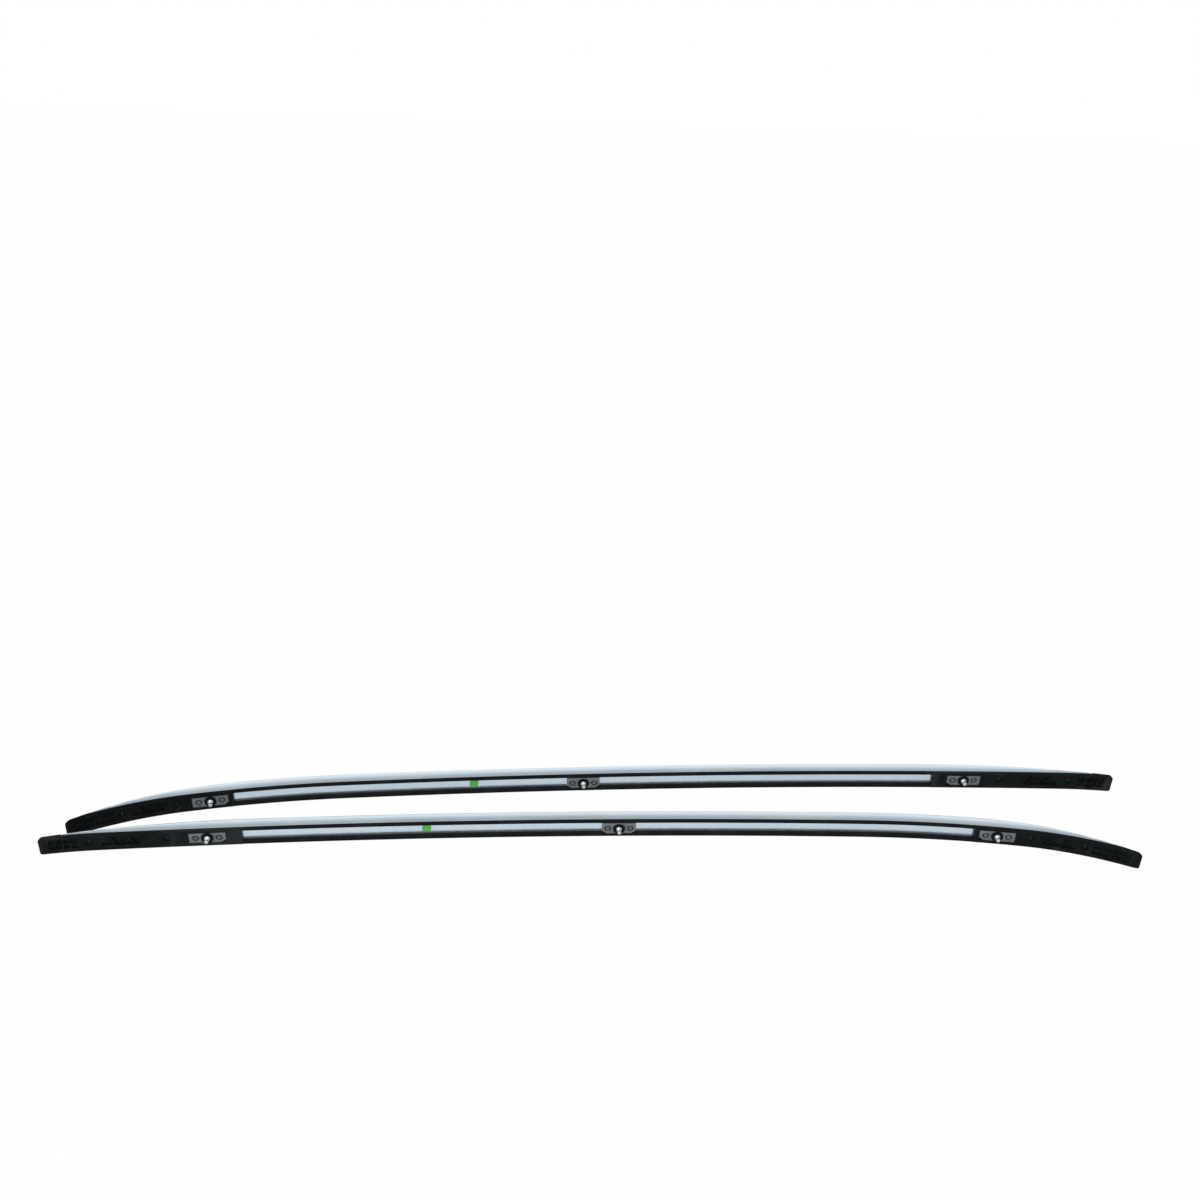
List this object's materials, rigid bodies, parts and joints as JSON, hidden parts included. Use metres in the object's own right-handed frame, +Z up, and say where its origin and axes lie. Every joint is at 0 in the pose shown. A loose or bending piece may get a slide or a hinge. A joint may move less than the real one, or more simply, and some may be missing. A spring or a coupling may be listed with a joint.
{
  "type": "pair of roof rails",
  "caption": "Left and right lengthwise roof rails of satin aluminium with black moulded end feet, rubber seal strips and stud brackets on the underside, lying on their sides.",
  "frame": {"origin": "centre of the pair's footprint on the floor", "axes": "+X along the rails, towards the right rail's front end, +Y from the undersides to the crowns, +Z up, out of the floor the rails lie on"},
  "size_m": [1.816, 0.2784, 0.038],
  "materials": {
    "satin_aluminium": "satin anodised",
    "moulded_plastic": "fine moulded grain",
    "seal_rubber": "matt",
    "cast_metal": "as cast",
    "plated_steel": "dull plated"
  },
  "bodies": {
    "root": {"left_front_bracket": "cast_metal", "left_front_bracket_screws": "plated_steel", "left_front_foot": "moulded_plastic", "left_front_foot_screws": "plated_steel", "left_front_stud": "plated_steel", "left_front_stud_seal": "seal_rubber", "left_inner_seal": "seal_rubber", "left_middle_bracket": "cast_metal", "left_middle_bracket_screws": "plated_steel", "left_middle_stud": "plated_steel", "left_middle_stud_seal": "seal_rubber", "left_outer_seal": "seal_rubber", "left_profile": "satin_aluminium", "left_rear_bracket": "cast_metal", "left_rear_bracket_screws": "plated_steel", "left_rear_foot": "moulded_plastic", "left_rear_foot_screws": "plated_steel", "left_rear_stud": "plated_steel", "left_rear_stud_seal": "seal_rubber", "right_front_bracket": "cast_metal", "right_front_bracket_screws": "plated_steel", "right_front_foot": "moulded_plastic", "right_front_foot_screws": "plated_steel", "right_front_stud": "plated_steel", "right_front_stud_seal": "seal_rubber", "right_inner_seal": "seal_rubber", "right_middle_bracket": "cast_metal", "right_middle_bracket_screws": "plated_steel", "right_middle_stud": "plated_steel", "right_middle_stud_seal": "seal_rubber", "right_outer_seal": "seal_rubber", "right_profile": "satin_aluminium", "right_rear_bracket": "cast_metal", "right_rear_bracket_screws": "plated_steel", "right_rear_foot": "moulded_plastic", "right_rear_foot_screws": "plated_steel", "right_rear_stud": "plated_steel", "right_rear_stud_seal": "seal_rubber"}
  },
  "joints": []
}
